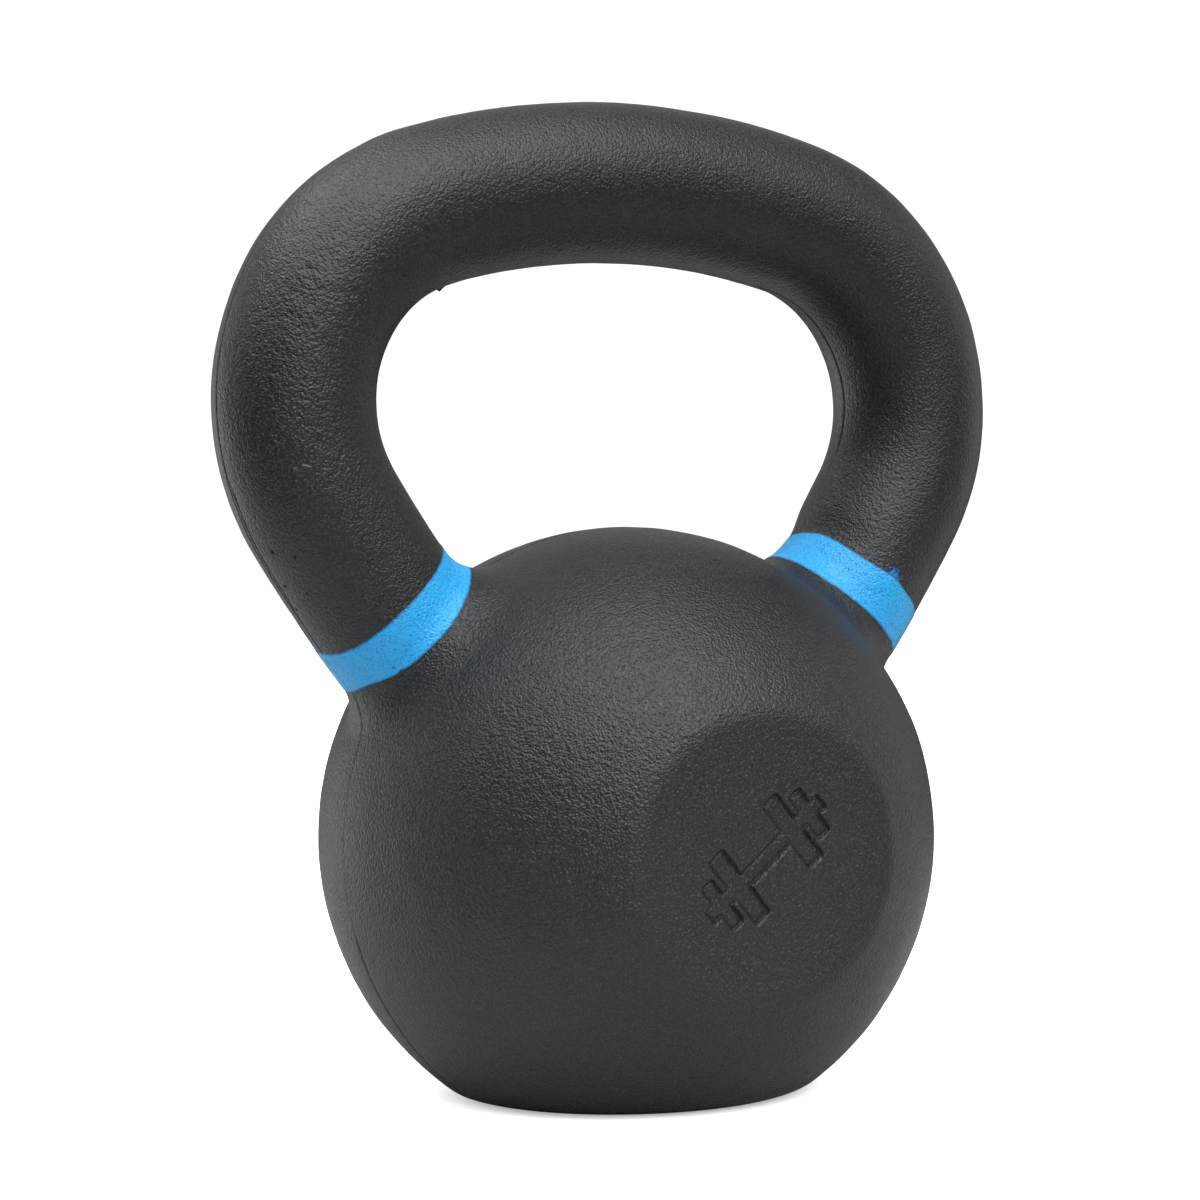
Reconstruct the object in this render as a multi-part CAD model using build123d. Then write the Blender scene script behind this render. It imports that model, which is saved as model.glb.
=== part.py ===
"""Cast-iron kettlebell: a round bell, a bent round bar for its handle, and two painted colour bands.

Millimetres, +Z up. The origin is the centre of the flat base. The handle lies in the XZ plane and the
engraved front facet faces -Y. "Turn" is the angle in degrees that the handle's centreline has turned from
the vertical line through its top, and "station" is a distance along the centreline from its top.
"""
from build123d import *
import os
from math import cos, degrees, radians, sin, sqrt

# ---------------------------------------------------------------- driving dimensions
# Bell
BALL_RADIUS = 69.2
BALL_CENTRE_HEIGHT = 57.6
SPHERE_SEAM_MERIDIAN = 45.0  # keeps the sphere's own seam away from the horns and the facets
BASE_EDGE_RADIUS = 6.0
FACET_RADIUS = 30.7
FACET_LEAN = 1.2             # degrees that each facet looks downwards
FACET_EDGE_RADIUS = 6.0
ROOT_FILLET = 8.5            # where a horn grows out of the ball

# Handle: a round bar along five tangent arcs, the horns being the two last ones
BAR_RADIUS = 17.75
CENTRELINE_TOP = 204.1
GRIP_ARC_RADIUS = 167.0
SHOULDER_ARC_RADIUS = 45.3
HORN_ARC_RADIUS = 285.7
GRIP_END_TURN = 15.7
SHOULDER_END_TURN = 121.1
HORN_END_TURN = 135.0
STUB_TOP_STATION = 140.0     # a horn stub is drawn from here, before it is trimmed at the seam
STUB_FOOT_STATION = 185.0    # well inside the ball

# Painted bands, a little different on each side. The seam between bell and handle lies under the band.
BAND_THICKNESS = 0.2
SEAM_BELOW_BAND_TOP = 2.0
BANDS = {
    "left": {"top_station": 151.4, "top_lean": 7.6, "foot_station": 162.3, "foot_lean": 3.1},
    "right": {"top_station": 148.9, "top_lean": 1.8, "foot_station": 159.3, "foot_lean": 5.5},
}

# Engraved dumbbell mark on the front facet
MARK_DEPTH = 0.9
MARK_TILT = 40.0
MARK_BAR_LENGTH = 36.0
MARK_BAR_WIDTH = 3.8
MARK_PLATES = (
    {"width": 4.6, "height": 18.0, "offset": 8.6},
    {"width": 3.6, "height": 12.0, "offset": 13.9},
)
MARK_CORNER_RADIUS = 0.8


# ---------------------------------------------------------------- handle centreline
def direction_at(turn):
    """Unit vector from an arc's centre to its point at this turn."""
    return Vector(sin(radians(turn)), 0, cos(radians(turn)))


def right_hand_arcs():
    """Centre, radius, first turn and last turn of the three arcs on the +X side."""
    grip_centre = Vector(0, 0, CENTRELINE_TOP - GRIP_ARC_RADIUS)
    to_shoulder = direction_at(GRIP_END_TURN) * (GRIP_ARC_RADIUS - SHOULDER_ARC_RADIUS)
    shoulder_centre = grip_centre + to_shoulder
    to_horn = direction_at(SHOULDER_END_TURN) * (SHOULDER_ARC_RADIUS - HORN_ARC_RADIUS)
    horn_centre = shoulder_centre + to_horn
    return (
        (grip_centre, GRIP_ARC_RADIUS, 0.0, GRIP_END_TURN),
        (shoulder_centre, SHOULDER_ARC_RADIUS, GRIP_END_TURN, SHOULDER_END_TURN),
        (horn_centre, HORN_ARC_RADIUS, SHOULDER_END_TURN, HORN_END_TURN),
    )


def right_hand_path(first_station, last_station):
    """The +X side's centreline between two stations, as one wire."""
    edges = []
    arc_start = 0.0
    for centre, radius, first_turn, last_turn in right_hand_arcs():
        arc_end = arc_start + radius * radians(last_turn - first_turn)
        begin = max(first_station, arc_start)
        end = min(last_station, arc_end)
        if begin < end:
            turns = [first_turn + degrees((s - arc_start) / radius) for s in (begin, (begin + end) / 2, end)]
            points = [centre + direction_at(turn) * radius for turn in turns]
            edges.append(Edge.make_three_point_arc(*points))
        arc_start = arc_end
    return Wire(edges)


def cross_plane(station, lean=0.0):
    """Plane across the +X side's bar, its normal pointing up the bar. A lean lowers its outer side."""
    path = right_hand_path(station - 1, station + 1)
    tangent = path.tangent_at(0.5)
    normal = (-tangent).rotate(Axis.Y, lean)
    return Plane(origin=path.position_at(0.5), x_dir=(0, 1, 0), z_dir=normal)


def right_hand_bar(first_station, last_station, radius=BAR_RADIUS):
    """Round bar along the +X side's centreline."""
    path = right_hand_path(first_station, last_station)
    profile = Plane(origin=path.position_at(0), z_dir=path.tangent_at(0)) * Circle(radius)
    return sweep(profile, path=path)


def placed(side, right_hand_solid):
    """A solid drawn on the +X side, mirrored where it belongs on the left."""
    return mirror(right_hand_solid, about=Plane.YZ) if side == "left" else right_hand_solid


def seam_plane(side):
    """Plane of the joint between bell and handle, drawn on the +X side."""
    band = BANDS[side]
    return cross_plane(band["top_station"] + SEAM_BELOW_BAND_TOP, band["top_lean"])


# ---------------------------------------------------------------- bell
def ball(skin=0.0):
    """Ball with its flat base, grown outwards by a skin."""
    sphere = Rot(0, 0, SPHERE_SEAM_MERIDIAN) * Sphere(BALL_RADIUS + skin)
    return split(Pos(0, 0, BALL_CENTRE_HEIGHT) * sphere, bisect_by=Plane.XY, keep=Keep.TOP)


def facet_plane(facing):
    """Plane of the front (facing -1) or back (facing 1) facet, its normal pointing out of the bell."""
    outwards = Vector(0, facing * cos(radians(FACET_LEAN)), -sin(radians(FACET_LEAN)))
    depth = sqrt(BALL_RADIUS ** 2 - FACET_RADIUS ** 2)
    origin = Vector(0, 0, BALL_CENTRE_HEIGHT) + outwards * depth
    return Plane(origin=origin, x_dir=(-facing, 0, 0), z_dir=outwards)


def flattened_ball():
    """Ball with a rounded base edge and both facets."""
    body = ball()
    body = fillet(body.edges().group_by(Axis.Z)[0], BASE_EDGE_RADIUS)
    for facing in (-1, 1):
        plane = facet_plane(facing)
        body = split(body, bisect_by=plane, keep=Keep.BOTTOM)
        facet = body.faces().filter_by(GeomType.PLANE).sort_by(Axis.Y)[0 if facing < 0 else -1]
        body = fillet(facet.edges(), FACET_EDGE_RADIUS)
    return body


def with_stub(body, side, skin=0.0):
    """A ball with the stub of one horn on it and a fillet round the root."""
    stub = placed(side, right_hand_bar(STUB_TOP_STATION, STUB_FOOT_STATION, BAR_RADIUS + skin))
    joined = body + stub
    known = set(body.edges()) | set(stub.edges())
    root = [edge for edge in joined.edges() if edge not in known and edge.geom_type == GeomType.BSPLINE]
    return fillet(root, ROOT_FILLET - skin)


def mark_outline():
    """Generic dumbbell pictogram, centred and lying along X."""
    outline = RectangleRounded(MARK_BAR_LENGTH, MARK_BAR_WIDTH, MARK_CORNER_RADIUS)
    for plate in MARK_PLATES:
        for x in (-plate["offset"], plate["offset"]):
            outline += Pos(x, 0) * RectangleRounded(plate["width"], plate["height"], MARK_CORNER_RADIUS)
    return outline


def bell():
    """Bell with its two horn stubs, trimmed at the seams, and the engraved mark."""
    body = flattened_ball()
    for side in BANDS:
        body = with_stub(body, side)
        body = placed(side, split(placed(side, body), bisect_by=seam_plane(side), keep=Keep.BOTTOM))
    mark = facet_plane(-1) * Rot(0, 0, MARK_TILT) * mark_outline()
    return body - extrude(mark, amount=-MARK_DEPTH)


# ---------------------------------------------------------------- handle and bands
def handle():
    """Bent round bar between the two seams."""
    halves = []
    for side in BANDS:
        half = right_hand_bar(0.0, STUB_FOOT_STATION)
        halves.append(placed(side, split(half, bisect_by=seam_plane(side), keep=Keep.TOP)))
    return halves[0] + halves[1]


def band(side):
    """Painted band: a thin skin over one horn root, between two slightly leaning edges."""
    edges = BANDS[side]
    skin = with_stub(ball(BAND_THICKNESS), "right", BAND_THICKNESS) - with_stub(ball(), "right")
    skin = split(skin, bisect_by=cross_plane(edges["top_station"], edges["top_lean"]), keep=Keep.BOTTOM)
    skin = split(skin, bisect_by=cross_plane(edges["foot_station"], edges["foot_lean"]), keep=Keep.TOP)
    return placed(side, skin)


# ---------------------------------------------------------------- output
def write_parts():
    os.makedirs("parts", exist_ok=True)
    nodes = {
        "bell": bell(),
        "handle": handle(),
        "left_band": band("left"),
        "right_band": band("right"),
    }
    for name, solid in nodes.items():
        export_step(solid, f"parts/{name}.step")


write_parts()
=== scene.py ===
import math

import bmesh
import bpy
import numpy as np
from mathutils import Matrix, Vector


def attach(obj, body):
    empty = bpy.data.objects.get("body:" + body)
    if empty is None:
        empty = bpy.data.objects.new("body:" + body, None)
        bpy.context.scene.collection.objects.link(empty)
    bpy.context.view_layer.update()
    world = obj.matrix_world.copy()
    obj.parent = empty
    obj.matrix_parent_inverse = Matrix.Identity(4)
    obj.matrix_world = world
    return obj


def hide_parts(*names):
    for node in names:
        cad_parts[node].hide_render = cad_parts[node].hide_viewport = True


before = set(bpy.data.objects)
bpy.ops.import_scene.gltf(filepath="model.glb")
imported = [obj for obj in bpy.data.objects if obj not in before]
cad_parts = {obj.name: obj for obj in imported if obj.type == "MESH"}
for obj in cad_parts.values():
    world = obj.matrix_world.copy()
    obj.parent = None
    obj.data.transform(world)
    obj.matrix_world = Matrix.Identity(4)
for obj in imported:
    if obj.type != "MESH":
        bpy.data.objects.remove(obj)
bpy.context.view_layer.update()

MM = 0.001

# ---------------------------------------------------------------- driving dimensions, in millimetres
# They are the CAD model's, but for the bar, which is thinnest at the horns and swells towards the grip.
# "Turn" is how far in degrees the handle's centreline has turned from the vertical line through its top,
# and "station" is a distance along the centreline from its top.
BALL_RADIUS = 69.2
BALL_CENTRE = np.array([0.0, 0.0, 57.6])
FACET_RADIUS = 30.7
FACET_DISTANCE = math.sqrt(BALL_RADIUS ** 2 - FACET_RADIUS ** 2)  # from the ball's centre
FACET_LEAN = 1.2             # degrees that each facet looks downwards
BAR_RADIUS = 17.67
GRIP_SWELL = 0.25            # added to the radius at the middle of the grip
GRIP_SWELL_REACH = 70.0      # and gone at this station
CENTRELINE_TOP = 204.1
GRIP_ARC_RADIUS = 167.0
SHOULDER_ARC_RADIUS = 45.3
HORN_ARC_RADIUS = 285.7
GRIP_END_TURN = 15.7
SHOULDER_END_TURN = 121.1
HORN_END_TURN = 135.0
SEAM_BELOW_BAND_TOP = 2.0
BANDS = {
    "left": {"side": -1, "top_station": 151.4, "top_lean": 7.6, "foot_station": 162.3, "foot_lean": 3.1},
    "right": {"side": 1, "top_station": 148.9, "top_lean": 1.8, "foot_station": 159.3, "foot_lean": 5.5},
}

# ---------------------------------------------------------------- seeds of the noise
UNEVENNESS_SEED = 1          # and the ones after it, one for each size of unevenness
LUMP_SEED = 5
PARTING_WANDER_SEED = 11
PARTING_FADE_SEED = 12
TOP_EDGE_SEED = 31
FOOT_EDGE_SEED = 32
BROAD_EDGE_SEED_STEP = 10    # from an edge's fine noise to its broad noise

# ---------------------------------------------------------------- finish of the casting
ROOT_BLEND_INNER = 10.0      # blend between ball and horn on the window side
ROOT_BLEND_OUTER = 6.0       # and on the outer side
FACET_EDGE_BLEND = 0.8       # rounding depth of the facet's edge
BASE_EDGE_BLEND = 2.4        # and of the base's edge
BELL_CELL = 1.05             # mesh cell of the bell
HANDLE_CELL = 0.83           # mesh cell of the handle
STUB_START = 140.0           # the bell is drawn with its horns from this station down
HANDLE_END = 168.0           # and the handle down to this one, before the cut at the seams
FINE_REACHES = (1.6, 0.9, 0.5)  # each halves the cells this near a fine detail
PARTING_REACH_FACTOR = 1.3   # the parting line counts as this much farther away than it is
BASE_RELIEF_FADE = 2.0       # the relief dies out this far above the base, so that it stands flat

# The right horn is a little necked on the window side, just above its band
NECK_STATION = 147.0
NECK_LENGTH = 5.0
NECK_DEPTH = 0.9

# Relief of the casting: size of the unevenness and its height, coarse to fine
UNEVENNESS = ((16.0, 0.10), (7.0, 0.055), (3.4, 0.030))
FACET_SMOOTHNESS = 0.75      # share of that unevenness that is missing on the flat facets
LUMP_SIZE = 2.6              # lumps, only in the lump zone
LUMP_HEIGHT = 0.16

# Engraved dumbbell mark
MARK_DEPTH = 0.75
MARK_TILT = 40.0
MARK_WALL = 0.32             # half the width of the sloping wall
MARK_GROOVE = (0.22, 0.22)   # width and depth of the sharp inner corner at the foot of the wall
MARK_BARS = (                # length along the dumbbell, height across it and offset of each bar or plate
    (36.0, 3.8, 0.0),
    (4.6, 18.0, 8.6),
    (4.6, 18.0, -8.6),
    (3.6, 12.0, 13.9),
    (3.6, 12.0, -13.9),
)
MARK_CORNER_RADIUS = 0.8
MARK_SNAP = 0.06             # vertices this near the wall's two edges are moved onto them

# Parting line of the mould, in the plane of the handle
PARTING_DEPTH = 0.24
PARTING_WIDTH = 0.26
PARTING_WANDER = 0.5         # how far it strays to each side
PARTING_WANDER_SIZE = 22.0
PARTING_FADE_SIZE = 26.0     # the length over which it comes and goes
PARTING_FAINTEST = 0.3       # share of its depth where it is faintest
PARTING_SPLIT = 1.3          # on the left horn there are two lines, this far apart
PARTING_SPLIT_STATIONS = (112.0, 146.0)
PARTING_SPLIT_FADE = 8.0

# Casting faults. A place on the bar is its side, its station and the degrees round from outwards towards
# the front. A place on the ball is its longitude, 0 in front and 90 at +X, and its latitude.
PITS = (                     # place, radius, depth
    ((-1, 128.6, 18.6), 0.42, 0.45),
    ((-1, 131.0, 35.0), 0.30, 0.35),
    ((-1, 136.3, 9.8), 0.36, 0.40),
    ((-1, 141.8, 4.8), 0.34, 0.40),
    ((-1, 139.0, 27.0), 0.26, 0.30),
    ((-1, 68.5, 118.0), 0.36, 0.45),
)
SCRATCH = ((-1, 116.2, 67.5), (-1, 116.9, 72.0))
SCRATCH_WIDTH = 0.16
SCRATCH_DEPTH = 0.14
FLASH_NIB = ((-1, 48.2, 180.0), (-1, 51.2, 180.0))  # a sliver, rising from the first place to the second
FLASH_NIB_WIDTH = 0.36
FLASH_NIB_HEIGHT = 0.75

# Zones, each with its middle and radius
COARSE_ZONES = (             # where the grain is coarser
    (("bar", -1, 82.0, 68.0), 30.0),
    (("bar", -1, 112.0, 70.0), 24.0),
    (("ball", -45.0, 16.0), 26.0),
    (("ball", -56.0, -22.0), 20.0),
    (("ball", 9.0, -31.0), 13.0),
)
LUMP_ZONE = (("bar", -1, 82.0, 68.0), 17.0)
RIGHT_HORN_ZONE = (("bar", 1, 112.0, 60.0), 42.0)
SPRAY_ZONE = (("bar", 1, 148.6, 88.0), 3.6)
# Patch of the ball beside the right horn, tinted with a painted reflection of the blue band
BLUE_REFLECTION_ZONE = (("ball", 44.0, 49.0), 13.0)

# Grain of the coat and the paint: size and height
GRAIN = (0.78, 0.16)
FINE_GRAIN = (0.42, 0.18)
WORMS = (1.5, 0.30)          # only in the coarse zones
GRAIN_ON_BELL = 1.3          # times the grain's height on the grip, but not on the facets
GRAIN_ON_RIGHT_HORN = 0.65
COAT_MOTTLE = 18.0           # size of the soft change in colour
PAINT_MOTTLE = 6.0
PINHOLE_SIZE = 1.2

# Gloss and colours
COAT_ROUGHNESS = (0.38, 0.46)
BLUE_PATCH_ROUGHNESS = 0.30        # added on the patch with the painted blue reflection, and in the shaded creases
CREASE_ROUGHNESS = 0.25
PAINT_ROUGHNESS = 0.42
PAINT_SPECULAR = 0.45
COAT_COLOURS = ((0.005, 0.005, 0.0055), (0.010, 0.010, 0.0105))
# Painted glints: lighter coat colour on the tops of the fine grain
GLINT_SPECK_COLOUR = (0.024, 0.024, 0.025)
# Painted reflection of the blue band on the black coat
BLUE_REFLECTION_COLOUR = (0.005, 0.008, 0.014)
# Painted shade: the coat is darkened to this in the parting line, the pits and the mark's groove
CREASE_SHADE_COLOUR = (0.001, 0.001, 0.001)
SCRATCH_COLOUR = (0.12, 0.125, 0.13)
SPRAY_COLOUR = (0.010, 0.15, 0.42)
PAINT_COLOURS = ((0.012, 0.35, 0.74), (0.020, 0.42, 0.86))
# Painted shade in the dimples of the paint's grain
PAINT_DIMPLE_SHADE_COLOUR = (0.008, 0.17, 0.48)
PINHOLE_COLOUR = (0.004, 0.06, 0.22)
# Painted shade along the edge step of the paint
RIM_SHADE_COLOUR = (0.004, 0.05, 0.16)

# Painted bands. Their surface is found by bisection between two distances from the bar's middle.
SURELY_INSIDE = 5.0
SURELY_OUTSIDE = 45.0
BISECTIONS = 40
BAND_THICKNESS = 0.14
BAND_SUNK = 0.25             # the inner face lies this deep in the casting
BAND_RAGGEDNESS = 0.10
BAND_RAGGED_SIZES = (1.3, 4.0)
BAND_EDGE_SHAPES = {         # places where an edge runs higher: degrees round, width in degrees, lift
    "left": {
        "top": ((-10.0, 32.0, 1.5),),
        "foot": ((24.0, 14.0, 0.8), (150.0, 42.0, 2.6)),
    },
    "right": {
        "top": ((88.0, 12.0, 0.6), (155.0, 28.0, 1.1)),
        "foot": ((28.0, 24.0, 0.6), (125.0, 38.0, -1.2)),
    },
}

# ---------------------------------------------------------------- studio dimensions, in metres
FLOOR_HALF = 6.0
FLOOR_WHITE = 0.9            # the floor as the camera sees it
FLOOR_BOUNCE = 0.58          # and as it lights the object
TABLE_EDGE = (0.36, 0.44)    # distances from the middle between which it stops lighting the object
CONTACT_SHADOW = (0.034, 0.047)  # distances from the middle between which the floor's own light rises, a painted contact shadow round the base
CONTACT_GLOW = 0.3           # from this strength to 1
BACKDROP_WHITE = 1.1
SKY_LOBE_HALF = 40.0         # half the width of each soft patch of sky
SKY_COLOURS = {"cool": (0.90, 0.95, 1.0), "plain": (1.0, 1.0, 0.98)}
SKY_LOBES = (                # azimuth, elevation, strength and colour
    (0, 60, 3.15, "cool"),
    (0, 35, 2.05, "plain"),
    (30, 35, 0.62, "plain"),
    (90, 5, 0.80, "plain"),
    (-150, 5, 0.85, "plain"),
    (-150, -20, 1.07, "plain"),
    (150, 35, 0.53, "plain"),
)
SOFTBOX_COLOUR = (0.95, 0.97, 1.0)
SOFTBOX_SIZE = 0.45
SOFTBOX_DISTANCE = 1.0
SOFTBOX_TARGET = (0.0, 0.0, 0.11)
SOFTBOXES = (                # name, azimuth, elevation and power
    ("left_softbox", -90, 60, 2.05),
    ("left_low_softbox", -90, 35, 1.62),
    ("rear_left_softbox", -135, 60, 3.06),
    ("top_softbox", 0, 85, 1.0),
)
CAMERA_TARGET = (-0.00527, 0.0, 0.11044)
CAMERA_DISTANCE = 0.7335
CAMERA_AZIMUTH = -27.87
CAMERA_ELEVATION = 0.872
CAMERA_ROLL = -1.32
CAMERA_LENS = 97.93


# ---------------------------------------------------------------- small vector helpers
def smoothstep(low, high, value):
    t = np.clip((value - low) / (high - low), 0.0, 1.0)
    return t * t * (3.0 - 2.0 * t)


def around(azimuth, elevation):
    """Unit vector from the object towards this direction. Azimuth 0 is -Y and 90 is +X."""
    a = math.radians(azimuth)
    e = math.radians(elevation)
    return np.array([math.sin(a) * math.cos(e), -math.cos(a) * math.cos(e), math.sin(e)])


def direction_at(turn):
    """In-plane (x, z) direction at this turn, in degrees from vertical."""
    return np.array([math.sin(math.radians(turn)), math.cos(math.radians(turn))])


def value_noise(points, cell, seed):
    """Smooth noise from about -1 to 1 with features of this size, from a seeded lattice of values."""
    size = 64
    lattice = np.random.default_rng(seed).uniform(-1.0, 1.0, (size, size, size))
    scaled = points / cell + 1000.0
    base = np.floor(scaled).astype(int)
    frac = scaled - base
    fade = frac ** 3 * (frac * (frac * 6.0 - 15.0) + 10.0)
    total = np.zeros(len(points))
    for dx in (0, 1):
        wx = fade[:, 0] if dx else 1.0 - fade[:, 0]
        for dy in (0, 1):
            wy = fade[:, 1] if dy else 1.0 - fade[:, 1]
            for dz in (0, 1):
                wz = fade[:, 2] if dz else 1.0 - fade[:, 2]
                corner = (base + (dx, dy, dz)) % size
                total += wx * wy * wz * lattice[corner[:, 0], corner[:, 1], corner[:, 2]]
    return total


# ---------------------------------------------------------------- handle centreline, drawn on the +X side
def centreline_arcs():
    """Centre, radius, first turn, last turn and first station of the three arcs."""
    grip_centre = np.array([0.0, CENTRELINE_TOP - GRIP_ARC_RADIUS])
    shoulder_centre = grip_centre + direction_at(GRIP_END_TURN) * (GRIP_ARC_RADIUS - SHOULDER_ARC_RADIUS)
    horn_centre = shoulder_centre + direction_at(SHOULDER_END_TURN) * (SHOULDER_ARC_RADIUS - HORN_ARC_RADIUS)
    arcs = []
    station = 0.0
    for centre, radius, first, last in (
        (grip_centre, GRIP_ARC_RADIUS, 0.0, GRIP_END_TURN),
        (shoulder_centre, SHOULDER_ARC_RADIUS, GRIP_END_TURN, SHOULDER_END_TURN),
        (horn_centre, HORN_ARC_RADIUS, SHOULDER_END_TURN, HORN_END_TURN),
    ):
        arcs.append((centre, radius, first, last, station))
        station += radius * math.radians(last - first)
    return arcs, station


ARCS, LAST_STATION = centreline_arcs()


def centreline_at(station):
    """Point and direction of travel, both (x, z), at a station on the +X side."""
    for centre, radius, first, last, start in reversed(ARCS):
        if station >= start:
            turn = first + math.degrees((station - start) / radius)
            return centre + direction_at(turn) * radius, direction_at(turn + 90.0)
    raise ValueError(station)


def nearest_on_centreline(points):
    """Distance from the centreline, station along it, and how far outwards from it, away from the window."""
    across = np.abs(points[:, 0])
    up = points[:, 2]
    best = np.full(len(points), 1e9)
    station = np.zeros(len(points))
    outward = np.zeros(len(points))
    for centre, radius, first, last, start in ARCS:
        dx = across - centre[0]
        dz = up - centre[1]
        turn = np.clip(np.arctan2(dx, dz), math.radians(first), math.radians(last))
        near_x = centre[0] + radius * np.sin(turn)
        near_z = centre[1] + radius * np.cos(turn)
        distance = np.hypot(across - near_x, up - near_z)
        closer = distance < best
        best = np.where(closer, distance, best)
        station = np.where(closer, start + radius * (turn - math.radians(first)), station)
        offset = (across - near_x) * np.sin(turn) + (up - near_z) * np.cos(turn)
        outward = np.where(closer, offset, outward)
    return np.hypot(best, points[:, 1]), station, outward


def plane_across(side, station, lean):
    """Origin and normal of a plane across the bar. The normal points up it. A lean lowers its outer side."""
    point, travel = centreline_at(station)
    angle = math.radians(lean)
    up_x, up_z = -travel
    normal_x = up_x * math.cos(angle) + up_z * math.sin(angle)
    normal_z = -up_x * math.sin(angle) + up_z * math.cos(angle)
    return np.array([side * point[0], 0.0, point[1]]), np.array([side * normal_x, 0.0, normal_z])


def seam_plane(band):
    """Plane of the joint between bell and handle."""
    return plane_across(band["side"], band["top_station"] + SEAM_BELOW_BAND_TOP, band["top_lean"])


# ---------------------------------------------------------------- the casting as an implicit surface
def round_union(a, b, radius):
    """Both solids together, with a fillet of this radius between them."""
    corner = np.hypot(np.maximum(radius - a, 0), np.maximum(radius - b, 0))
    return np.maximum(radius, np.minimum(a, b)) - corner


def round_intersection(a, b, radius):
    """What lies in both solids, with its edge rounded to this radius."""
    corner = np.hypot(np.maximum(radius + a, 0), np.maximum(radius + b, 0))
    return np.minimum(-radius, np.maximum(a, b)) + corner


def facet_axes(facing):
    """Outward, across and up directions of the front (-1) or back (1) facet."""
    lean = math.radians(FACET_LEAN)
    outwards = np.array([0.0, facing * math.cos(lean), -math.sin(lean)])
    across = np.array([-facing, 0.0, 0.0])
    return outwards, across, np.cross(outwards, across)


def casting_distance(points):
    """Distance from the smooth casting, below zero inside it."""
    ball = np.linalg.norm(points - BALL_CENTRE, axis=1) - BALL_RADIUS
    from_line, station, outward = nearest_on_centreline(points)
    swell = GRIP_SWELL * (1.0 - smoothstep(0.0, GRIP_SWELL_REACH, station))
    neck = NECK_DEPTH * np.exp(-((station - NECK_STATION) / NECK_LENGTH) ** 2)
    neck *= smoothstep(0.0, -BAR_RADIUS, outward) * (points[:, 0] > 0)
    bar = from_line - BAR_RADIUS - swell + neck
    towards_outside = smoothstep(-BAR_RADIUS, BAR_RADIUS, outward)
    root_blend = ROOT_BLEND_INNER + (ROOT_BLEND_OUTER - ROOT_BLEND_INNER) * towards_outside
    body = round_union(ball, bar, root_blend)
    for facing in (-1, 1):
        outwards = facet_axes(facing)[0]
        body = round_intersection(body, (points - BALL_CENTRE) @ outwards - FACET_DISTANCE, FACET_EDGE_BLEND)
    return round_intersection(body, -points[:, 2], BASE_EDGE_BLEND)


def gradient(points, step=0.05):
    """Slope of the casting's distance at each point."""
    slope = np.empty_like(points)
    for axis in range(3):
        offset = np.zeros(3)
        offset[axis] = step
        rise = casting_distance(points + offset) - casting_distance(points - offset)
        slope[:, axis] = rise / (2.0 * step)
    return slope


def on_casting(points, rounds):
    """The points moved onto the smooth casting, and the unit normals there."""
    for _ in range(rounds):
        slope = gradient(points)
        reach = casting_distance(points) / np.maximum((slope ** 2).sum(1), 1e-3)
        points = points - slope * np.clip(reach, -2.0, 2.0)[:, None]
    slope = gradient(points)
    return points, slope / np.linalg.norm(slope, axis=1)[:, None]


# ---------------------------------------------------------------- relief on the casting
def mark_distance(points):
    """Distance from the mark's outline, in the front facet's plane, below zero inside it."""
    outwards, across, up = facet_axes(-1)
    from_centre = points - BALL_CENTRE
    tilt = math.radians(MARK_TILT)
    u = from_centre @ across
    v = from_centre @ up
    along = u * math.cos(tilt) + v * math.sin(tilt)
    aside = -u * math.sin(tilt) + v * math.cos(tilt)
    distance = np.full(len(points), 1e3)
    for width, height, offset in MARK_BARS:
        dx = np.abs(along - offset) - width / 2 + MARK_CORNER_RADIUS
        dy = np.abs(aside) - height / 2 + MARK_CORNER_RADIUS
        outside = np.hypot(np.maximum(dx, 0), np.maximum(dy, 0))
        distance = np.minimum(distance, outside + np.minimum(np.maximum(dx, dy), 0) - MARK_CORNER_RADIUS)
    on_front = from_centre @ outwards > 0
    return np.where(on_front, distance, 1e3)


def bar_place(side, station, around_degrees):
    """Point on the bar, by degrees round from the outward direction towards the front."""
    point, travel = centreline_at(station)
    outward = np.array([side * -travel[1], 0.0, travel[0]])
    front = np.array([0.0, -1.0, 0.0])
    turn = math.radians(around_degrees)
    centre = np.array([side * point[0], 0.0, point[1]])
    return centre + BAR_RADIUS * (math.cos(turn) * outward + math.sin(turn) * front)


def ball_place(longitude, latitude):
    """Point on the ball. Longitude 0 faces the front and 90 is +X."""
    return BALL_CENTRE + BALL_RADIUS * around(longitude, latitude)


def zone_weight(points, zone):
    """1 in the middle of a zone, fading out at about its radius."""
    (kind, *place), radius = zone
    middle = bar_place(*place) if kind == "bar" else ball_place(*place)
    return np.exp(-((points - middle) ** 2).sum(1) / (0.6 * radius) ** 2)


def along_segment(points, ends):
    """Distance from a short line between two places on the bar, and the share of the way along it."""
    first, last = (bar_place(*end) for end in ends)
    along = last - first
    share = np.clip((points - first) @ along / (along @ along), 0.0, 1.0)
    return np.linalg.norm(points - first - share[:, None] * along, axis=1), share


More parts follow.
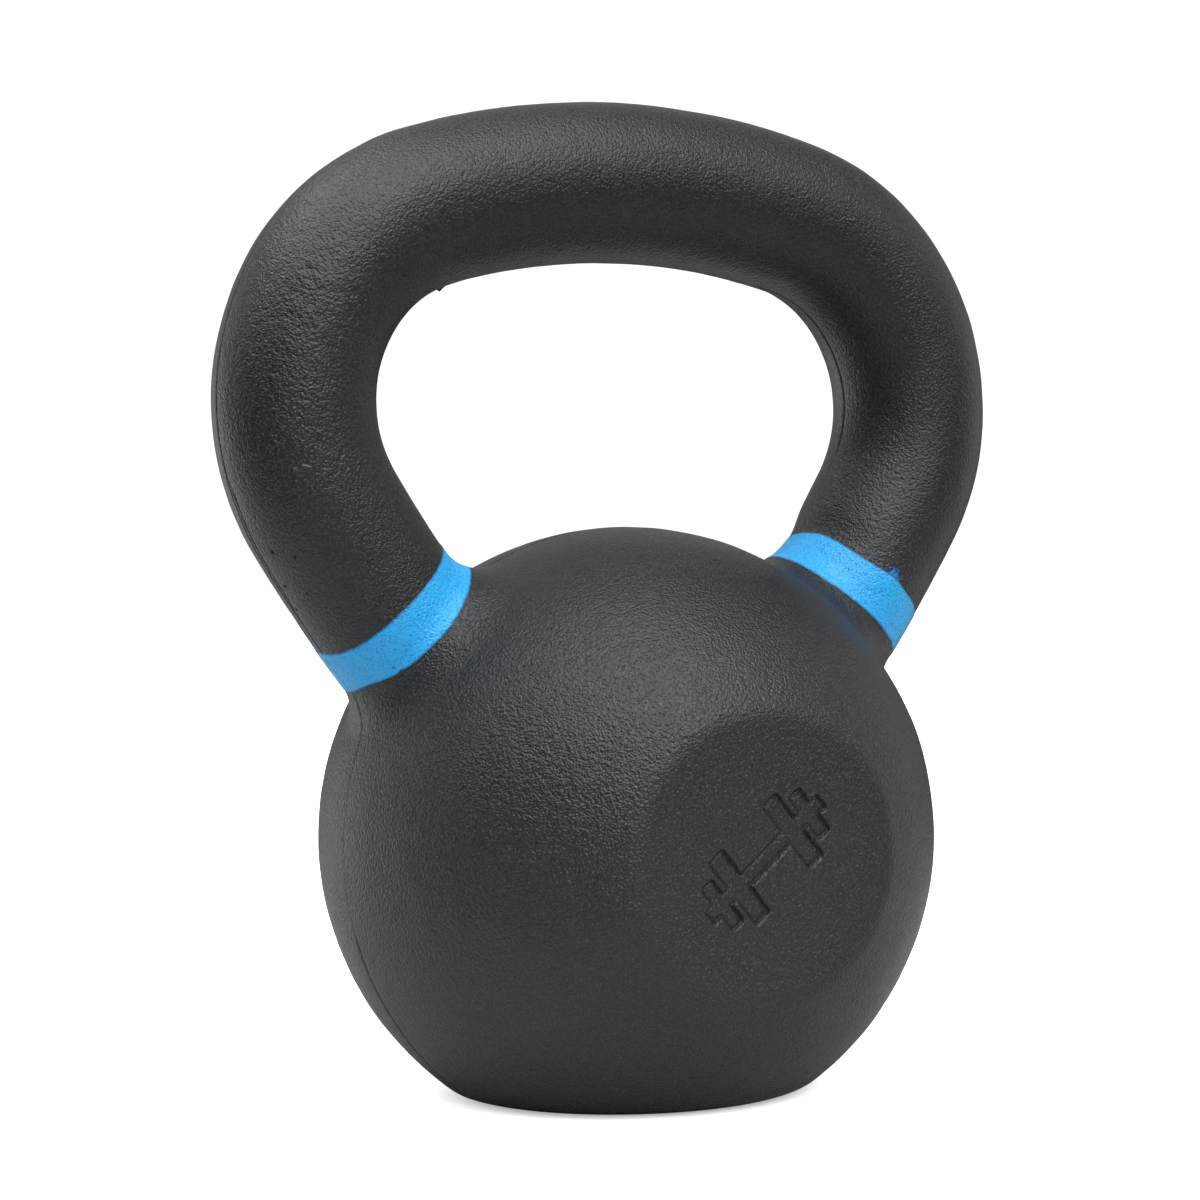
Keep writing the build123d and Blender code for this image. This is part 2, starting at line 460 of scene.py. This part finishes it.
def parting_lines(points):
    """Distance across each of the two parting lines, and how strongly each shows, from 0 to 1."""
    in_plane = points * (1, 0, 1)
    wander = PARTING_WANDER * value_noise(in_plane, PARTING_WANDER_SIZE, PARTING_WANDER_SEED)
    fading = smoothstep(-0.35, 0.2, value_noise(in_plane, PARTING_FADE_SIZE, PARTING_FADE_SEED))
    strength = PARTING_FAINTEST + (1.0 - PARTING_FAINTEST) * fading
    _, station, outward = nearest_on_centreline(points)
    first, last = PARTING_SPLIT_STATIONS
    split = smoothstep(first, first + PARTING_SPLIT_FADE, station)
    split *= smoothstep(last, last - PARTING_SPLIT_FADE, station)
    split *= (points[:, 0] < 0) & (outward > 0)
    spread = 0.5 * PARTING_SPLIT * split
    return ((points[:, 1] - wander - spread, strength), (points[:, 1] - wander + spread, strength * split))


def facet_share(points):
    """1 on either flat facet, 0 elsewhere."""
    share = np.zeros(len(points))
    for facing in (-1, 1):
        below = FACET_DISTANCE - (points - BALL_CENTRE) @ facet_axes(facing)[0]
        share = np.maximum(share, smoothstep(0.8, 0.1, below))
    return share


def mark_groove(points):
    """1 along the foot of the mark's wall, 0 away from it."""
    return np.exp(-((mark_distance(points) + MARK_WALL) / MARK_GROOVE[0]) ** 2)


def grain_strength(points):
    """Height of the coat's grain, against the grain on the grip."""
    on_bell = smoothstep(125.0, 108.0, points[:, 2])
    on_right_horn = zone_weight(points, RIGHT_HORN_ZONE) * (1.0 - on_bell)
    on_ball = on_bell * (1.0 - facet_share(points))
    return 1.0 + (GRAIN_ON_BELL - 1.0) * on_ball + (GRAIN_ON_RIGHT_HORN - 1.0) * on_right_horn


def crease_depth(points):
    """Depth of the parting line and the pits."""
    depth = np.zeros(len(points))
    for across, strength in parting_lines(points):
        depth += PARTING_DEPTH * strength * np.exp(-(across / PARTING_WIDTH) ** 2)
    for place, radius, pit_depth in PITS:
        distance = np.linalg.norm(points - bar_place(*place), axis=1)
        depth += pit_depth * np.exp(-(distance / radius) ** 2)
    return depth


def scratch_share(points):
    """1 in the scratch, 0 away from it."""
    return np.exp(-(along_segment(points, SCRATCH)[0] / SCRATCH_WIDTH) ** 2)


def fine_detail_distance(points, level):
    """Distance from the nearest detail that needs finer cells. The last level leaves out the parting line."""
    distance = np.abs(mark_distance(points))
    if level < len(FINE_REACHES) - 1:
        for across, _ in parting_lines(points):
            distance = np.minimum(distance, PARTING_REACH_FACTOR * np.abs(across))
    for place, radius, _ in PITS:
        distance = np.minimum(distance, np.linalg.norm(points - bar_place(*place), axis=1) - radius)
    distance = np.minimum(distance, along_segment(points, SCRATCH)[0])
    return np.minimum(distance, along_segment(points, FLASH_NIB)[0] - FLASH_NIB_WIDTH)


def relief(points):
    """Height of the real surface over the smooth one."""
    height = np.zeros(len(points))
    for seed, (size, amount) in enumerate(UNEVENNESS, start=UNEVENNESS_SEED):
        height += amount * value_noise(points, size, seed)
    height *= 1.0 - FACET_SMOOTHNESS * facet_share(points)
    height += LUMP_HEIGHT * zone_weight(points, LUMP_ZONE) * value_noise(points, LUMP_SIZE, LUMP_SEED)
    height -= MARK_DEPTH * np.clip(0.5 - mark_distance(points) / (2.0 * MARK_WALL), 0.0, 1.0)
    height -= MARK_GROOVE[1] * mark_groove(points)
    height -= crease_depth(points)
    height -= SCRATCH_DEPTH * scratch_share(points)
    nib_distance, nib_share = along_segment(points, FLASH_NIB)
    height += FLASH_NIB_HEIGHT * (0.1 + 0.9 * nib_share) * np.exp(-(nib_distance / FLASH_NIB_WIDTH) ** 2)
    return height * smoothstep(0.0, BASE_RELIEF_FADE, points[:, 2])


def snapped_to_mark(points):
    """Moves the vertices near the two edges of the mark's wall onto them, so that they are crisp."""
    distance = mark_distance(points)
    step = 0.02
    slope = np.zeros_like(points)
    for axis in (0, 2):
        offset = np.zeros(3)
        offset[axis] = step
        rise = mark_distance(points + offset) - mark_distance(points - offset)
        slope[:, axis] = rise / (2.0 * step)
    for edge in (MARK_WALL, -MARK_WALL):
        move = np.where(np.abs(distance - edge) < MARK_SNAP, edge - distance, 0.0)
        points = points + slope * move[:, None]
    return points


# ---------------------------------------------------------------- meshes
def mesh_object(name, vertices, faces):
    """A new object with this mesh, in the scene."""
    mesh = bpy.data.meshes.new(name)
    mesh.from_pydata([tuple(v) for v in vertices], [], [tuple(f) for f in faces])
    mesh.update()
    piece = bpy.data.objects.new(name, mesh)
    bpy.context.scene.collection.objects.link(piece)
    return piece


def coordinates(mesh):
    flat = np.empty(len(mesh.vertices) * 3)
    mesh.vertices.foreach_get("co", flat)
    return flat.reshape(-1, 3)


def set_coordinates(mesh, points):
    mesh.vertices.foreach_set("co", points.ravel())
    mesh.update()


def rough_ball():
    """Ball pressed flat at the facets and the base, as a start for the remesh."""
    bm = bmesh.new()
    bmesh.ops.create_icosphere(bm, subdivisions=6, radius=BALL_RADIUS)
    points = np.array([v.co[:] for v in bm.verts]) + BALL_CENTRE
    faces = [[v.index for v in f.verts] for f in bm.faces]
    bm.free()
    for facing in (-1, 1):
        outwards = facet_axes(facing)[0]
        beyond = np.maximum((points - BALL_CENTRE) @ outwards - FACET_DISTANCE, 0)
        points -= beyond[:, None] * outwards
    points[:, 2] = np.maximum(points[:, 2], 0)
    return points, faces


def rough_bar(first, last, sides=64, step=2.0):
    """Round bar between two stations. Stations are negative on the -X side."""
    stations = np.arange(first, last + 0.01, step)
    angles = np.linspace(0, 2 * math.pi, sides, endpoint=False)[:, None]
    front_to_back = np.array([0.0, 1.0, 0.0])
    rings = []
    for station in stations:
        side = 1 if station >= 0 else -1
        point, travel = centreline_at(abs(station))
        outward = np.array([side * -travel[1], 0.0, travel[0]])
        centre = np.array([side * point[0], 0.0, point[1]])
        rings.append(centre + BAR_RADIUS * (np.cos(angles) * outward + np.sin(angles) * front_to_back))
    faces = []
    for ring in range(len(stations) - 1):
        for k in range(sides):
            a = ring * sides + k
            b = ring * sides + (k + 1) % sides
            faces.append((a, b, b + sides, a + sides))
    faces.append(tuple(range(sides))[::-1])
    faces.append(tuple(range((len(stations) - 1) * sides, len(stations) * sides)))
    return np.vstack(rings), faces


def remeshed(piece, cell):
    """The piece's mesh rebuilt from even cells."""
    modifier = piece.modifiers.new("cells", "REMESH")
    modifier.mode = "VOXEL"
    modifier.voxel_size = cell
    evaluated = piece.evaluated_get(bpy.context.evaluated_depsgraph_get())
    mesh = bpy.data.meshes.new_from_object(evaluated)
    piece.modifiers.clear()
    old = piece.data
    piece.data = mesh
    bpy.data.meshes.remove(old)


def refine(bm, level, reach):
    """Splits every edge whose two ends are this near a fine detail."""
    picked = fine_detail_distance(np.array([v.co[:] for v in bm.verts]), level) < reach
    bm.verts.index_update()
    edges = [e for e in bm.edges if picked[e.verts[0].index] and picked[e.verts[1].index]]
    bmesh.ops.subdivide_edges(bm, edges=edges, cuts=1, use_grid_fill=True)


def casting_piece(name, solids, cell, keep_handle):
    """One half of the casting, remeshed in even cells, with finer ones at the mark and the parting line."""
    points = []
    faces = []
    for solid_points, solid_faces in solids:
        first = sum(len(p) for p in points)
        points.append(solid_points)
        faces += [[i + first for i in face] for face in solid_faces]
    piece = mesh_object(name, np.vstack(points), faces)
    for _ in range(2):
        remeshed(piece, cell)
        set_coordinates(piece.data, on_casting(coordinates(piece.data), rounds=3)[0])
    bm = bmesh.new()
    bm.from_mesh(piece.data)
    for level, reach in enumerate(FINE_REACHES):
        refine(bm, level, reach)
    cut_at_seams(bm)
    bm.to_mesh(piece.data)
    bm.free()
    points, normals = on_casting(snapped_to_mark(coordinates(piece.data)), rounds=2)
    set_coordinates(piece.data, points + normals * relief(points)[:, None])
    # Painted shade: share of painted darkening in the parting line, the pits and the groove at the foot of
    # the mark's wall
    store(piece.data, "crease_shade", np.clip(crease_depth(points) / PARTING_DEPTH + mark_groove(points), 0.0, 1.0))
    store(piece.data, "scratch", scratch_share(points))
    store(piece.data, "grain_strength", grain_strength(points))
    store(piece.data, "coarse", sum(zone_weight(points, zone) for zone in COARSE_ZONES))
    store(piece.data, "spray", zone_weight(points, SPRAY_ZONE))
    # Painted reflection: where the coat takes the blue band's painted reflection
    store(piece.data, "blue_reflection_patch", zone_weight(points, BLUE_REFLECTION_ZONE))
    keep_half(piece, keep_handle)
    return piece


def store(mesh, name, values):
    """Keeps one number per vertex in the mesh, for its material."""
    mesh.attributes.new(name, "FLOAT", "POINT").data.foreach_set("value", values)


def cut_at_seams(bm):
    """Runs an edge loop round each horn, in its seam plane."""
    for band in BANDS.values():
        origin, normal = seam_plane(band)
        faces = [f for f in bm.faces if f.verts[0].co.x * band["side"] > 0]
        edges = list(dict.fromkeys(e for f in faces for e in f.edges))
        vertices = list(dict.fromkeys(v for f in faces for v in f.verts))
        bmesh.ops.bisect_plane(bm, geom=faces + edges + vertices, dist=1e-5, plane_co=origin, plane_no=normal)


def keep_half(piece, keep_handle):
    """Keeps the handle or the bell, and closes the two cuts."""
    mesh = piece.data
    centres = np.empty(len(mesh.polygons) * 3)
    mesh.polygons.foreach_get("center", centres)
    centres = centres.reshape(-1, 3)
    above = np.zeros(len(centres), bool)
    for band in BANDS.values():
        origin, normal = seam_plane(band)
        here = centres[:, 0] * band["side"] > 0
        above[here] = (centres[here] - origin) @ normal > 0
    bm = bmesh.new()
    bm.from_mesh(mesh)
    bm.faces.ensure_lookup_table()
    bmesh.ops.delete(bm, geom=[bm.faces[i] for i in np.flatnonzero(above != keep_handle)], context="FACES")
    rims = [e for e in bm.edges if e.is_boundary]
    for face in bm.faces:
        face.smooth = True
    for face in bmesh.ops.holes_fill(bm, edges=rims, sides=0)["faces"]:
        face.smooth = False
    for edge in rims:
        edge.smooth = False
    bm.to_mesh(mesh)
    bm.free()


def finished_piece(piece, material, slot, *nodes):
    """Scales a piece to metres, gives it its material, hangs it on the root body and hides the CAD nodes it
    stands for. Its slot is not used.
    """
    set_coordinates(piece.data, coordinates(piece.data) * MM)
    piece.data.materials.clear()
    piece.data.materials.append(material)
    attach(piece, "root")
    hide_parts(*nodes)


def edge_lift(around_degrees, bumps, seed):
    """How far a band's edge runs above its plane, at each angle round the bar."""
    turn = np.radians(around_degrees)
    ring = BAR_RADIUS * np.stack([np.cos(turn), np.sin(turn), np.zeros(len(turn))], axis=1)
    fine_size, broad_size = BAND_RAGGED_SIZES
    broad = value_noise(ring, broad_size, seed + BROAD_EDGE_SEED_STEP)
    lift = BAND_RAGGEDNESS * (value_noise(ring, fine_size, seed) + broad)
    for middle, width, amount in bumps:
        apart = (around_degrees - middle + 180.0) % 360.0 - 180.0
        lift += amount * np.exp(-(apart / width) ** 2)
    return lift


def band_surface(side_name, band, sides=300, rows=26):
    """Grid of points on the casting between the band's top and foot, row by row."""
    top_origin, top_normal = plane_across(band["side"], band["top_station"], band["top_lean"])
    foot_origin, foot_normal = plane_across(band["side"], band["foot_station"], band["foot_lean"])
    angles = np.linspace(0, 2 * math.pi, sides, endpoint=False)
    around_degrees = np.degrees(np.arctan2(-np.sin(angles), band["side"] * np.cos(angles)))
    top_lift = edge_lift(around_degrees, BAND_EDGE_SHAPES[side_name]["top"], TOP_EDGE_SEED)
    foot_lift = edge_lift(around_degrees, BAND_EDGE_SHAPES[side_name]["foot"], FOOT_EDGE_SEED)
    grid = []
    for row in np.linspace(0.0, 1.0, rows):
        origin = top_origin + (foot_origin - top_origin) * row
        normal = top_normal + (foot_normal - top_normal) * row
        normal /= np.linalg.norm(normal)
        outward = np.cross((0.0, 1.0, 0.0), normal)
        rays = np.cos(angles)[:, None] * outward + np.sin(angles)[:, None] * np.array([0.0, 1.0, 0.0])
        lift = top_lift + (foot_lift - top_lift) * row
        origin = origin + normal * lift[:, None]
        low = np.full(sides, SURELY_INSIDE)
        high = np.full(sides, SURELY_OUTSIDE)
        for _ in range(BISECTIONS):
            middle = (low + high) / 2
            inside = casting_distance(origin + rays * middle[:, None]) < 0
            low = np.where(inside, middle, low)
            high = np.where(inside, high, middle)
        grid.append(origin + rays * low[:, None])
    return np.array(grid)


def band_piece(side_name, band):
    """Thin closed skin of paint over the casting, with worn-looking edges."""
    grid = band_surface(side_name, band)
    rows, sides, _ = grid.shape
    flat = grid.reshape(-1, 3)
    smooth, normals = on_casting(flat, rounds=2)
    lift = np.full((rows, sides), BAND_THICKNESS)
    lift[0] = lift[-1] = -BAND_SUNK
    lift[1] = lift[-2] = BAND_THICKNESS * 0.8
    outer = smooth + normals * (relief(smooth) + lift.ravel())[:, None]
    inner = smooth + normals * (relief(smooth) - BAND_SUNK)[:, None]
    points = np.vstack([outer, inner.reshape(rows, sides, 3)[1:-1].reshape(-1, 3)])
    outer_rings = list(range(rows))
    inner_rings = list(range(rows, 2 * rows - 2))
    order = outer_rings + inner_rings[::-1]
    faces = []
    for here, there in zip(order, order[1:] + order[:1]):
        for k in range(sides):
            after = (k + 1) % sides
            faces.append((here * sides + k, here * sides + after, there * sides + after, there * sides + k))
    piece = mesh_object(side_name + "_band_paint", points, faces)
    # Painted shade: the paint's edge rows are marked for a darker colour, standing in for the shade of its
    # edge step
    rim_shade = np.zeros(len(points))
    for row, share in ((0, 1.0), (1, 0.8), (rows - 2, 0.6), (rows - 1, 1.0)):
        rim_shade[row * sides:(row + 1) * sides] = share
    store(piece.data, "rim_shade", rim_shade)
    bm = bmesh.new()
    bm.from_mesh(piece.data)
    bmesh.ops.recalc_face_normals(bm, faces=bm.faces)
    for face in bm.faces:
        face.smooth = True
    bm.to_mesh(piece.data)
    bm.free()
    return piece


# ---------------------------------------------------------------- materials, built from nodes
def node_material(name):
    """A new material, its node tree and its Principled shader."""
    material = bpy.data.materials.new(name)
    material.use_nodes = True
    tree = material.node_tree
    return material, tree, tree.nodes["Principled BSDF"]


def add_node(tree, kind, settings=None, **values):
    """A new shader node with these settings, and these values in its inputs."""
    node = tree.nodes.new("ShaderNode" + kind)
    for key, value in (settings or {}).items():
        setattr(node, key, value)
    for key, value in values.items():
        node.inputs[key.replace("_", " ")].default_value = value
    return node


def stored(tree, name):
    """The number that the mesh keeps per vertex under this name."""
    return add_node(tree, "Attribute", {"attribute_name": name}).outputs["Fac"]


def product(tree, a, b):
    node = add_node(tree, "Math", {"operation": "MULTIPLY"})
    tree.links.new(a, node.inputs[0])
    tree.links.new(b, node.inputs[1])
    return node.outputs[0]


def noise(tree, place, size, detail=0.0, distortion=0.0):
    """Noise with features of about this size in millimetres."""
    node = add_node(tree, "TexNoise", Scale=1.0 / (size * MM), Detail=detail, Distortion=distortion)
    tree.links.new(place, node.inputs["Vector"])
    return node.outputs["Fac"]


def remap(tree, value, low, high, new_low, new_high):
    """The value with low to high moved to new_low to new_high, and held there beyond them."""
    node = add_node(tree, "MapRange", From_Min=low, From_Max=high, To_Min=new_low, To_Max=new_high)
    tree.links.new(value, node.inputs["Value"])
    return node.outputs["Result"]


def mixed_colour(tree, factor, colour_a, colour_b):
    """Colour A where the factor is 0 and B where it is 1. Each is a tuple or a socket."""
    node = add_node(tree, "Mix", {"data_type": "RGBA"})
    for name, colour in (("A", colour_a), ("B", colour_b)):
        socket = [s for s in node.inputs if s.type == "RGBA" and s.name == name][0]
        if isinstance(colour, tuple):
            socket.default_value = (*colour, 1.0)
        else:
            tree.links.new(colour, socket)
    tree.links.new(factor, node.inputs["Factor"])
    return [s for s in node.outputs if s.type == "RGBA"][0]


def mixed_shader(tree, factor, first, second):
    """The first shader where the factor is 0, the second where it is 1."""
    node = tree.nodes.new("ShaderNodeMixShader")
    tree.links.new(factor, node.inputs[0])
    tree.links.new(first, node.inputs[1])
    tree.links.new(second, node.inputs[2])
    return node.outputs[0]


def added_shader(tree, first, second):
    node = tree.nodes.new("ShaderNodeAddShader")
    tree.links.new(first, node.inputs[0])
    tree.links.new(second, node.inputs[1])
    return node.outputs[0]


def weighted_sum(tree, *terms):
    """Sum of (socket, weight) pairs."""
    total = None
    for socket, weight in terms:
        scaled = add_node(tree, "Math", {"operation": "MULTIPLY"})
        scaled.inputs[1].default_value = weight
        tree.links.new(socket, scaled.inputs[0])
        if total is None:
            total = scaled.outputs[0]
        else:
            added = add_node(tree, "Math", {"operation": "ADD"})
            tree.links.new(total, added.inputs[0])
            tree.links.new(scaled.outputs[0], added.inputs[1])
            total = added.outputs[0]
    return total


def bumped(tree, shader, height):
    """Bump from a height in millimetres."""
    node = add_node(tree, "Bump", Strength=1.0, Distance=MM)
    tree.links.new(height, node.inputs["Height"])
    tree.links.new(node.outputs["Normal"], shader.inputs["Normal"])


def coat_material():
    """Black baked coat over cast iron: pebbled grain with painted glints on its tops, uneven gloss, painted
    shade in the creases, overspray of band paint and a painted reflection of the blue band.
    """
    material, tree, shader = node_material("black_coat")
    place = add_node(tree, "TexCoord").outputs["Object"]
    broad = noise(tree, place, COAT_MOTTLE, detail=3.0)
    worms = noise(tree, place, WORMS[0], detail=1.0, distortion=0.8)
    grain = noise(tree, place, GRAIN[0])
    fine = noise(tree, place, FINE_GRAIN[0])
    # Painted glints: the tops of the fine grain are made lighter
    painted_glints = remap(tree, fine, 0.50, 0.74, 0.0, 1.0)
    colour = mixed_colour(tree, broad, *COAT_COLOURS)
    colour = mixed_colour(tree, painted_glints, colour, GLINT_SPECK_COLOUR)
    # Painted reflection: blue tint beside the right horn, broken up by the grain
    blue_reflection_share = product(tree, stored(tree, "blue_reflection_patch"), remap(tree, grain, 0.35, 0.65, 0.05, 0.35))
    colour = mixed_colour(tree, blue_reflection_share, colour, BLUE_REFLECTION_COLOUR)
    # Painted shade: the creases are darkened where shade falls in them
    colour = mixed_colour(tree, stored(tree, "crease_shade"), colour, CREASE_SHADE_COLOUR)
    colour = mixed_colour(tree, stored(tree, "scratch"), colour, SCRATCH_COLOUR)
    spray = weighted_sum(tree, (stored(tree, "spray"), 0.75), (fine, 1.0))
    colour = mixed_colour(tree, remap(tree, spray, 0.88, 1.02, 0.0, 1.0), colour, SPRAY_COLOUR)
    tree.links.new(colour, shader.inputs["Base Color"])
    roughness = weighted_sum(
        tree,
        (remap(tree, grain, 0.3, 0.7, *COAT_ROUGHNESS), 1.0),
        (stored(tree, "blue_reflection_patch"), BLUE_PATCH_ROUGHNESS),
        (stored(tree, "crease_shade"), CREASE_ROUGHNESS),
    )
    tree.links.new(roughness, shader.inputs["Roughness"])
    pebbles = weighted_sum(tree, (grain, GRAIN[1]), (fine, FINE_GRAIN[1]))
    pebbles = product(tree, pebbles, stored(tree, "grain_strength"))
    coarse_worms = product(tree, worms, stored(tree, "coarse"))
    bumped(tree, shader, weighted_sum(tree, (pebbles, 1.0), (coarse_worms, WORMS[1])))
    return material


def paint_material():
    """Satin blue paint over the same grain, with painted shade along its rims and in the grain's dimples, and
    darker pinholes.
    """
    material, tree, shader = node_material("blue_paint")
    place = add_node(tree, "TexCoord").outputs["Object"]
    broad = noise(tree, place, PAINT_MOTTLE, detail=3.0)
    grain = noise(tree, place, GRAIN[0])
    fine = noise(tree, place, FINE_GRAIN[0])
    pinholes = noise(tree, place, PINHOLE_SIZE, detail=2.0)
    colour = mixed_colour(tree, broad, *PAINT_COLOURS)
    # Painted shade: darker blue in the low spots of the fine grain
    colour = mixed_colour(tree, remap(tree, fine, 0.42, 0.30, 0.0, 0.6), colour, PAINT_DIMPLE_SHADE_COLOUR)
    colour = mixed_colour(tree, remap(tree, pinholes, 0.30, 0.24, 0.0, 1.0), colour, PINHOLE_COLOUR)
    # Painted shade along the band's edges
    colour = mixed_colour(tree, stored(tree, "rim_shade"), colour, RIM_SHADE_COLOUR)
    tree.links.new(colour, shader.inputs["Base Color"])
    shader.inputs["Roughness"].default_value = PAINT_ROUGHNESS
    shader.inputs["Specular IOR Level"].default_value = PAINT_SPECULAR
    bumped(tree, shader, weighted_sum(tree, (grain, GRAIN[1]), (fine, FINE_GRAIN[1])))
    return material


def floor_material():
    """White floor, dimmer only close round the base, where the object shades it and where its glow is turned
    down as a painted contact shadow.

    It throws light back at the object as far as the table's edge. Past that it lets light through, so that
    the sky's low patches shine on the object from below too.
    """
    material = bpy.data.materials.new("pale_floor")
    material.use_nodes = True
    tree = material.node_tree
    tree.nodes.clear()
    output = tree.nodes.new("ShaderNodeOutputMaterial")
    seen = add_node(tree, "LightPath").outputs["Is Camera Ray"]
    from_middle = add_node(tree, "VectorMath", {"operation": "LENGTH"})
    tree.links.new(add_node(tree, "TexCoord").outputs["Object"], from_middle.inputs[0])
    distance = from_middle.outputs["Value"]

    diffuse = tree.nodes.new("ShaderNodeBsdfDiffuse")
    tree.links.new(remap(tree, seen, 0.0, 1.0, FLOOR_BOUNCE, FLOOR_WHITE), diffuse.inputs["Color"])
    glow = add_node(tree, "Emission")
    # Painted contact shadow: the glow seen by the camera is weaker close round the base
    rise = remap(tree, distance, *CONTACT_SHADOW, CONTACT_GLOW, 1.0)
    tree.links.new(product(tree, rise, seen), glow.inputs["Strength"])
    white = added_shader(tree, diffuse.outputs[0], glow.outputs[0])

    solid = add_node(tree, "Math", {"operation": "MAXIMUM"})
    tree.links.new(remap(tree, distance, *TABLE_EDGE, 1.0, 0.0), solid.inputs[0])
    tree.links.new(seen, solid.inputs[1])
    clear = tree.nodes.new("ShaderNodeBsdfTransparent")
    surface = mixed_shader(tree, solid.outputs[0], clear.outputs[0], white)
    tree.links.new(surface, output.inputs["Surface"])
    return material


# ---------------------------------------------------------------- studio
def aim(piece, location, target, roll=0.0):
    """Puts a camera or light at a place, looking at a target."""
    back = Vector(np.array(location) - np.array(target)).normalized()
    right = (-back).cross(Vector((0, 0, 1)))
    if right.length < 1e-6:
        right = Vector((1, 0, 0))
    right.normalize()
    up = right.cross(-back)
    turn = math.radians(roll)
    x_axis = right * math.cos(turn) + up * math.sin(turn)
    y_axis = up * math.cos(turn) - right * math.sin(turn)
    matrix = Matrix((x_axis, y_axis, back)).transposed().to_4x4()
    matrix.translation = Vector(location)
    piece.matrix_world = matrix


def make_camera():
    camera = bpy.data.objects.new("camera", bpy.data.cameras.new("camera"))
    bpy.context.scene.collection.objects.link(camera)
    camera.data.lens = CAMERA_LENS
    camera.data.sensor_width = 36.0
    camera.data.clip_start = 0.01
    camera.data.clip_end = 100.0
    location = np.array(CAMERA_TARGET) + around(CAMERA_AZIMUTH, CAMERA_ELEVATION) * CAMERA_DISTANCE
    aim(camera, location, CAMERA_TARGET, CAMERA_ROLL)
    bpy.context.scene.camera = camera


def make_floor(material):
    floor = mesh_object(
        "floor",
        [(x * FLOOR_HALF, y * FLOOR_HALF, 0.0) for x, y in ((-1, -1), (1, -1), (1, 1), (-1, 1))],
        [(0, 1, 2, 3)],
    )
    floor.data.materials.append(material)


def softbox(name, azimuth, elevation, power):
    light = bpy.data.lights.new(name, "AREA")
    light.shape = "RECTANGLE"
    light.size = SOFTBOX_SIZE
    light.size_y = SOFTBOX_SIZE
    light.energy = power
    light.color = SOFTBOX_COLOUR
    piece = bpy.data.objects.new(name, light)
    bpy.context.scene.collection.objects.link(piece)
    location = np.array(SOFTBOX_TARGET) + around(azimuth, elevation) * SOFTBOX_DISTANCE
    aim(piece, location, SOFTBOX_TARGET)


def make_lights():
    for name, azimuth, elevation, power in SOFTBOXES:
        softbox(name, azimuth, elevation, power)


def sky_patch(tree, direction, azimuth, elevation):
    """1 in the middle of a soft round patch of sky, 0 outside it."""
    facing = add_node(tree, "VectorMath", {"operation": "DOT_PRODUCT"})
    facing.inputs[1].default_value = around(azimuth, elevation)
    tree.links.new(direction, facing.inputs[0])
    edge = math.cos(math.radians(SKY_LOBE_HALF))
    core = math.cos(math.radians(SKY_LOBE_HALF / 4))
    patch = add_node(tree, "MapRange", {"interpolation_type": "SMOOTHSTEP"}, From_Min=edge, From_Max=core)
    tree.links.new(facing.outputs["Value"], patch.inputs["Value"])
    return patch.outputs["Result"]


def make_world():
    """White where the camera sees it. The object is lit by a few soft patches of sky."""
    world = bpy.data.worlds.new("studio")
    bpy.context.scene.world = world
    world.use_nodes = True
    tree = world.node_tree
    tree.nodes.clear()
    output = tree.nodes.new("ShaderNodeOutputWorld")
    direction = add_node(tree, "TexCoord").outputs["Generated"]
    lights = []
    for name, colour in SKY_COLOURS.items():
        lobes = [lobe for lobe in SKY_LOBES if lobe[3] == name]
        patches = [(sky_patch(tree, direction, azimuth, elevation), strength)
                   for azimuth, elevation, strength, _ in lobes]
        background = add_node(tree, "Background", Color=(*colour, 1.0))
        tree.links.new(weighted_sum(tree, *patches), background.inputs["Strength"])
        lights.append(background.outputs[0])
    backdrop = add_node(tree, "Background", Color=(1, 1, 1, 1), Strength=BACKDROP_WHITE)
    seen = add_node(tree, "LightPath").outputs["Is Camera Ray"]
    surface = mixed_shader(tree, seen, added_shader(tree, *lights), backdrop.outputs[0])
    tree.links.new(surface, output.inputs["Surface"])


# ---------------------------------------------------------------- build
make_camera()
coat = coat_material()
paint = paint_material()

stubs = [rough_bar(-LAST_STATION + 1, -STUB_START), rough_bar(STUB_START, LAST_STATION - 1)]
bell = casting_piece("bell_casting", [rough_ball(), *stubs], BELL_CELL, keep_handle=False)
finished_piece(bell, coat, "cast_iron", "bell")

handle = casting_piece("handle_casting", [rough_bar(-HANDLE_END, HANDLE_END)], HANDLE_CELL, keep_handle=True)
finished_piece(handle, coat, "cast_iron", "handle")

for side_name, band in BANDS.items():
    finished_piece(band_piece(side_name, band), paint, "band_paint", side_name + "_band")

make_floor(floor_material())
make_lights()
make_world()
bpy.context.scene.view_settings.view_transform = "Standard"
